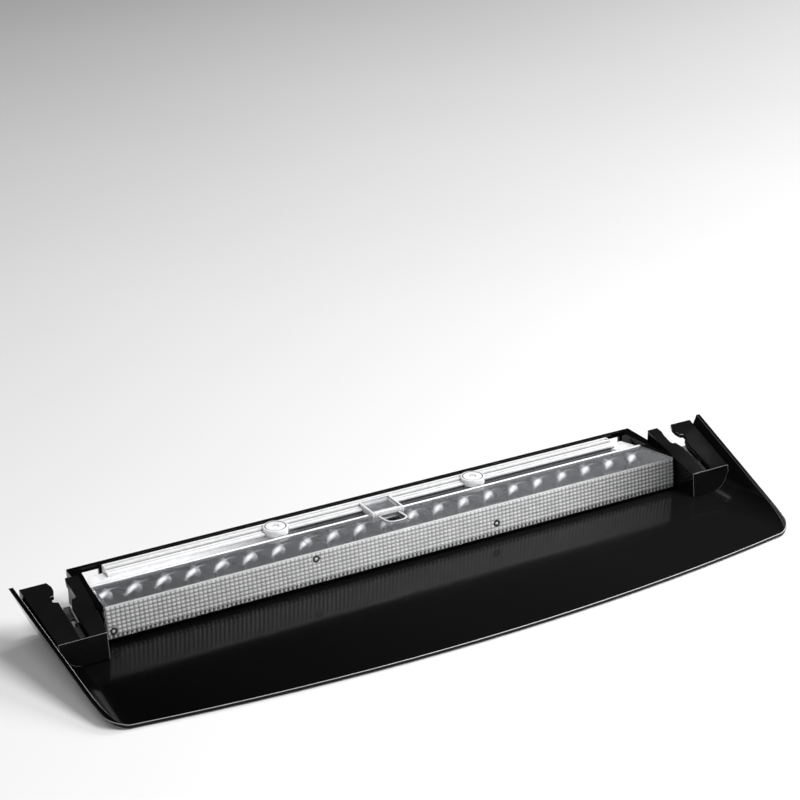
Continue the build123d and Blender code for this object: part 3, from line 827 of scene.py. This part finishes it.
def end_walls():
    """The walls that close the lens at its two ends."""
    wall, under, rear = 2.6, UNDER_Z - 0.05, TOP_REAR_Y + 1.2
    outline = [
        (FRONT_Y + FRONT_WALL, BOTTOM_Z),
        (FRONT_TOP_Y + FRONT_WALL, FRONT_TOP_Z - 2.75),
        (TOP_REAR_Y, under),
        (rear, under),
        (rear, BOTTOM_Z),
    ]
    parts = []
    for side in (-1, 1):
        inner = [(side * (lens_end(y) - wall), y, z) for y, z in outline]
        outer = [(side * lens_end(y), y, z) for y, z in outline]
        parts.append(loft((inner, outer) if side > 0 else (outer, inner)))
    obj = mesh_object("lens_end_walls", *join(parts), (M_LENS,))
    bevelled(obj, 0.0003)
    ride_lamp(obj)


def rail():
    """The stepped rail along the lens's rear; its low front step stops at the hood."""
    top, hood_side, stop_length = 21.9, 9.85, 1.2
    step, dip, recess = top - 1.3, top - 1.8, top - 0.8
    low = [
        (57.2, UNDER_Z),
        (57.2, top - 2.6),
        (57.2, top - 1.7),
        (58.2, step),
        (58.6, step),
        (58.9, dip),
        (59.4, dip),
        (59.7, step),
        (61.45, step),
        (61.45, UNDER_Z),
    ]
    high = [
        (61.5, UNDER_Z),
        (61.5, top),
        (62.6, top),
        (62.8, recess),
        (64.9, recess),
        (65.1, top),
        (66.2, top),
        (66.2, UNDER_Z),
    ]
    parts = [bar(high, -RAIL_HALF, RAIL_HALF)]
    slots = [0] * (len(high) + 2)
    # the low step's foot shows as part of the groove
    for x0, x1 in ((-RAIL_HALF, -hood_side), (hood_side, RAIL_HALF)):
        parts.append(bar(low, x0, x1))
        slots += [1] + [0] * (len(low) + 1)
    # stops that close the recess at the rail's ends
    stop = rectangle(62.75, top - 0.9, 64.95, top)
    for x0, x1 in ((-RAIL_HALF, -RAIL_HALF + stop_length), (RAIL_HALF - stop_length, RAIL_HALF)):
        parts.append(bar(stop, x0, x1))
        slots += [0] * (len(stop) + 2)
    obj = mesh_object("lens_rail", *join(parts), (M_RAIL, M_GROOVE), slots)
    bevelled(obj, 0.00015)
    ride_lamp(obj)


def bosses():
    """Two round bosses on the rail, each with a raised lip and a dished top."""
    foot, top = UNDER_Z + 1.6, 22.6
    profile = [
        (0, foot),
        (7.0, foot),
        (7.2, top - 1.0),
        (7.0, top - 0.2),
        (6.6, top),
        (6.1, top),
        (6.0, top - 0.9),
        (5.5, top - 0.9),
        (5.4, top - 0.1),
        (2.2, top - 0.1),
        (1.9, top - 0.7),
        (0, top - 0.7),
    ]
    parts = [turned(profile, x, 59.2) for x in (-62.5, 62.5)]
    ride_lamp(mesh_object("lens_bosses", *join(parts), (M_RAIL,)))


def hood():
    """The snap hood: a low box behind the window, with a bright frame and a clear roof.

    Small gaps keep the faces of its pieces from lying in one another.
    """
    half, wall, top, floor = 9.8, 1.3, 22.4, 18.3
    front, rear, front_wall = 45.2, 61.6, 1.5
    front_gap, side_gap, roof_gap = 0.05, 0.02, 0.03
    side = rectangle(front, floor, rear, top)
    crosspiece = rectangle(front, floor, front + front_wall, top)
    sheet = rectangle(front + front_wall + front_gap, top - 1.5, rear, top - 0.1)
    inner = half - wall
    parts = [bar(side, -half, -inner), bar(side, inner, half)]
    parts.append(bar(crosspiece, -inner + side_gap, inner - side_gap))
    hood_frame = mesh_object("lens_hood", *join(parts), (M_RAIL,))
    bevelled(hood_frame, 0.0003)
    ride_lamp(hood_frame)
    roof = bar(sheet, -inner + roof_gap, inner - roof_gap)
    ride_lamp(mesh_object("lens_hood_roof", *roof, (M_LENS,)))


lens_shell()
end_walls()
window_rim()
top_rib()
reflector_painted_reflections()
rail()
bosses()
hood()


# ---------------------------------------------------------------- floor, light, camera
# the photo's own view; FOCAL_RATIO is the focal length over the sensor's width
SENSOR_WIDTH = 36.0
FOCAL_RATIO = 2.35
CAMERA_PLACE = (-0.4436, -0.7766, 0.4782)
CAMERA_RIGHT = Vector((0.87323, -0.48710, -0.01457))
CAMERA_DOWN = Vector((-0.19956, -0.33017, -0.92258))
CAMERA_AHEAD = Vector((0.44458, 0.80853, -0.38552))


def make_floor():
    half, z = 8.0, -0.0002
    corners = [(-half, -half, z), (half, -half, z), (half, half, z), (-half, half, z)]
    mesh = bpy.data.meshes.new("studio_floor")
    mesh.from_pydata(corners, [], [(0, 1, 2, 3)])
    mesh.materials.append(floor_paint())
    obj = bpy.data.objects.new("studio_floor", mesh)
    bpy.context.scene.collection.objects.link(obj)


def area_light(name, place, target, size, power):
    """A rectangular light at place that faces target; size in metres, power in watts."""
    light = bpy.data.lights.new(name, "AREA")
    light.shape = "RECTANGLE"
    light.size, light.size_y = size
    light.energy = power
    obj = bpy.data.objects.new(name, light)
    obj.location = place
    aim = Vector(target) - Vector(place)
    obj.rotation_euler = aim.to_track_quat("-Z", "Y").to_euler()
    bpy.context.scene.collection.objects.link(obj)


def make_world():
    world = bpy.data.worlds.new("studio")
    bpy.context.scene.world = world
    world.use_nodes = True
    background = world.node_tree.nodes["Background"]
    background.inputs["Color"].default_value = (0.9, 0.93, 1.0, 1)
    background.inputs["Strength"].default_value = 0.02


def make_camera():
    data = bpy.data.cameras.new("camera")
    data.sensor_width = SENSOR_WIDTH
    data.lens = FOCAL_RATIO * SENSOR_WIDTH
    data.clip_start, data.clip_end = 0.05, 50.0
    obj = bpy.data.objects.new("camera", data)
    turn = Matrix((CAMERA_RIGHT, -CAMERA_DOWN, -CAMERA_AHEAD)).transposed()
    obj.matrix_world = Matrix.Translation(CAMERA_PLACE) @ turn.to_4x4()
    bpy.context.scene.collection.objects.link(obj)
    bpy.context.scene.camera = obj


make_floor()
make_world()
area_light("key_strip", (0.67, -0.585, 1.2), (0, -0.05, 0), (1.0, 0.28), 26)
area_light("front_left", (-0.95, -0.75, 0.9), (-0.1, 0, 0), (0.8, 0.6), 5)
area_light("floor_wash", (-0.3, -1.3, 1.7), (-0.2, -0.5, 0), (1.6, 0.8), 4)
area_light("side_sky", (2.3, 0.6, 1.5), (0, 0, 0), (1.0, 1.0), 48)
area_light("top_sky", (-0.9, 0.4, 3.0), (0, 0.3, 0), (1.4, 1.4), 16)
make_camera()
bpy.context.scene.view_settings.view_transform = "Standard"
